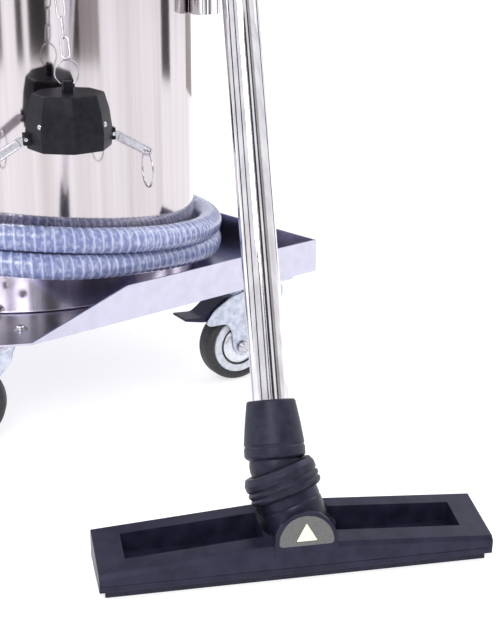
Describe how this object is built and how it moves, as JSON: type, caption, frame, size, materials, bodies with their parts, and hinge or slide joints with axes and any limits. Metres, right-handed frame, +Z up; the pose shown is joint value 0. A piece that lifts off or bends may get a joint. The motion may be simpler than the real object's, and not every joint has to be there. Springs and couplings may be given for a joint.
{
  "type": "shop vacuum",
  "caption": "Wheeled wet-and-dry shop vacuum: a stainless tank on a castor tray, with a coiled ribbed hose, a chromed wand, a wide floor tool and a chained dust cap.",
  "frame": {"origin": "on the floor under the middle of the object's box, measured without the hose", "axes": "+Z up, +Y towards the back flange of the tray, +X towards the floor tool"},
  "size_m": [1.1339, 0.6526, 1.2139],
  "materials": {
    "tray_steel": "bright stainless sheet, flanges almost white, floor mirror-like",
    "tank_steel": "mirror-polished stainless with faint vertical grain",
    "zinc": "bright bluish zinc plate",
    "chrome_tube": "polished chrome tube",
    "ring_steel": "bright plated wire and stamped steel",
    "black_plastic": "satin black moulded plastic",
    "soft_rubber": "matt black rubber",
    "tyre_rubber": "black non-marking tread",
    "wheel_grey": "pale grey moulded wheel centre",
    "hose_vinyl": "translucent blue-lavender ribbed vinyl",
    "filter_paper": "pleated filter paper",
    "red_plastic": "glossy red switch"
  },
  "bodies": {
    "machine": {"tray": "tray_steel", "tank": "tank_steel", "inlet_adapter": "zinc", "tube_holder": "tank_steel", "tank_gasket": "soft_rubber", "head_base": "black_plastic", "head_cover": "black_plastic", "suction_motor": "wheel_grey", "filter_cartridge": "filter_paper", "float_cage": "black_plastic", "chain_anchor": "zinc", "latch_front_bracket": "zinc", "latch_rear_bracket": "zinc", "swivel_elbow": "black_plastic", "swivel_collar": "black_plastic", "wand_cuff": "soft_rubber", "wand": "chrome_tube", "wand_holder": "zinc", "hand_tube": "chrome_tube", "hose_coil": "hose_vinyl", "hose_inlet_run": "hose_vinyl", "hose_wand_run": "hose_vinyl", "hose_cuff": "soft_rubber", "hose_coupler": "black_plastic", "castor_rear_right_plate": "zinc", "castor_rear_left_plate": "zinc", "castor_front_right_plate": "zinc", "castor_front_left_plate": "zinc"},
    "swivel_rear_right": {"castor_rear_right_fork": "zinc"},
    "wheel_rear_right": {"castor_rear_right_tyre": "tyre_rubber", "castor_rear_right_hub": "wheel_grey"},
    "pedal_rear_right": {"castor_rear_right_pedal": "black_plastic"},
    "swivel_rear_left": {"castor_rear_left_fork": "zinc"},
    "wheel_rear_left": {"castor_rear_left_tyre": "tyre_rubber", "castor_rear_left_hub": "wheel_grey"},
    "pedal_rear_left": {"castor_rear_left_pedal": "black_plastic"},
    "swivel_front_right": {"castor_front_right_fork": "zinc"},
    "wheel_front_right": {"castor_front_right_tyre": "tyre_rubber", "castor_front_right_hub": "wheel_grey"},
    "swivel_front_left": {"castor_front_left_fork": "zinc"},
    "wheel_front_left": {"castor_front_left_tyre": "tyre_rubber", "castor_front_left_hub": "wheel_grey"},
    "cap": {"dust_cap": "black_plastic", "cap_ring_top": "ring_steel", "cap_chain": "ring_steel"},
    "lever_right": {"cap_lever_right": "ring_steel"},
    "pull_right": {"cap_ring_right": "ring_steel"},
    "lever_left": {"cap_lever_left": "ring_steel"},
    "pull_left": {"cap_ring_left": "ring_steel"},
    "latch_front": {"latch_front_lever": "zinc"},
    "latch_rear": {"latch_rear_lever": "zinc"},
    "rocker": {"power_switch": "red_plastic"},
    "fan": {"motor_impeller": "ring_steel", "motor_shaft": "zinc"},
    "float": {"float_ball": "wheel_grey"},
    "floor_tool": {"tool_body": "black_plastic", "strip_frame": "black_plastic", "squeegee_front": "soft_rubber", "squeegee_rear": "soft_rubber"}
  },
  "joints": [
    {"name": "castor_rear_right_swivel", "type": "hinge", "parent": "machine", "child": "swivel_rear_right", "pos_m": [-0.0124, 0.23232, 0.13], "axis": [0, 0, 1], "continuous": true},
    {"name": "castor_rear_right_roll", "type": "hinge", "parent": "swivel_rear_right", "child": "wheel_rear_right", "pos_m": [-0.01926, 0.19698, 0.05], "axis": [0.9816, -0.1908, 0], "continuous": true},
    {"name": "castor_rear_right_brake", "type": "hinge", "parent": "swivel_rear_right", "child": "pedal_rear_right", "pos_m": [-0.02117, 0.18716, 0.1173], "axis": [0.9816, -0.1908, 0], "range_deg": [0, 8]},
    {"name": "castor_rear_left_swivel", "type": "hinge", "parent": "machine", "child": "swivel_rear_left", "pos_m": [-0.5124, 0.23232, 0.13], "axis": [0, 0, 1], "continuous": true},
    {"name": "castor_rear_left_roll", "type": "hinge", "parent": "swivel_rear_left", "child": "wheel_rear_left", "pos_m": [-0.50863, 0.19652, 0.05], "axis": [0.9945, 0.1045, 0], "continuous": true},
    {"name": "castor_rear_left_brake", "type": "hinge", "parent": "swivel_rear_left", "child": "pedal_rear_left", "pos_m": [-0.50759, 0.18657, 0.1173], "axis": [0.9945, 0.1045, 0], "range_deg": [0, 8]},
    {"name": "castor_front_right_swivel", "type": "hinge", "parent": "machine", "child": "swivel_front_right", "pos_m": [-0.0504, -0.16468, 0.13], "axis": [0, 0, 1], "continuous": true},
    {"name": "castor_front_right_roll", "type": "hinge", "parent": "swivel_front_right", "child": "wheel_front_right", "pos_m": [-0.07256, -0.19305, 0.05], "axis": [0.788, -0.6157, 0], "continuous": true},
    {"name": "castor_front_left_swivel", "type": "hinge", "parent": "machine", "child": "swivel_front_left", "pos_m": [-0.4744, -0.16468, 0.13], "axis": [0, 0, 1], "continuous": true},
    {"name": "castor_front_left_roll", "type": "hinge", "parent": "swivel_front_left", "child": "wheel_front_left", "pos_m": [-0.46208, -0.19851, 0.05], "axis": [0.9397, 0.342, 0], "continuous": true},
    {"name": "cap_swing", "type": "hinge", "parent": "machine", "child": "cap", "pos_m": [-0.03647, -0.06141, 0.596], "axis": [0.9336, -0.3584, 0], "range_deg": [-20, 20]},
    {"name": "cap_lever_right_turn", "type": "hinge", "parent": "cap", "child": "lever_right", "pos_m": [0.02511, -0.02934, 0.375], "axis": [0.9336, -0.3584, 0], "range_deg": [0, 90]},
    {"name": "cap_ring_right_hang", "type": "hinge", "parent": "lever_right", "child": "pull_right", "pos_m": [0.04001, 0.00946, 0.351], "axis": [0.9336, -0.3584, 0], "range_deg": [-100, 60]},
    {"name": "cap_lever_left_turn", "type": "hinge", "parent": "cap", "child": "lever_left", "pos_m": [-0.01216, -0.12644, 0.375], "axis": [-0.9336, 0.3584, 0], "range_deg": [0, 90]},
    {"name": "cap_ring_left_hang", "type": "hinge", "parent": "lever_left", "child": "pull_left", "pos_m": [-0.02706, -0.16525, 0.351], "axis": [-0.9336, 0.3584, 0], "range_deg": [-100, 60]},
    {"name": "latch_front_open", "type": "hinge", "parent": "machine", "child": "latch_front", "pos_m": [-0.14627, -0.19308, 0.648], "axis": [0.8829, 0.4695, 0], "range_deg": [0, 110]},
    {"name": "latch_rear_open", "type": "hinge", "parent": "machine", "child": "latch_rear", "pos_m": [-0.32224, 0.26532, 0.648], "axis": [-0.9703, -0.2419, 0], "range_deg": [0, 110]},
    {"name": "switch_rock", "type": "hinge", "parent": "machine", "child": "rocker", "pos_m": [-0.3224, 0.02532, 0.9014], "axis": [0, 1, 0], "range_deg": [-7, 0]},
    {"name": "fan_spin", "type": "hinge", "parent": "machine", "child": "fan", "pos_m": [-0.2624, 0.02532, 0.73105], "axis": [0, 0, 1], "continuous": true},
    {"name": "float_rise", "type": "slide", "parent": "machine", "child": "float", "axis": [0, 0, 1], "range_m": [0, 0.06]},
    {"name": "tool_turn", "type": "hinge", "parent": "machine", "child": "floor_tool", "pos_m": [0.4242, -0.10308, 0.03], "axis": [0, 0, 1], "range_deg": [-45, 80]}
  ]
}
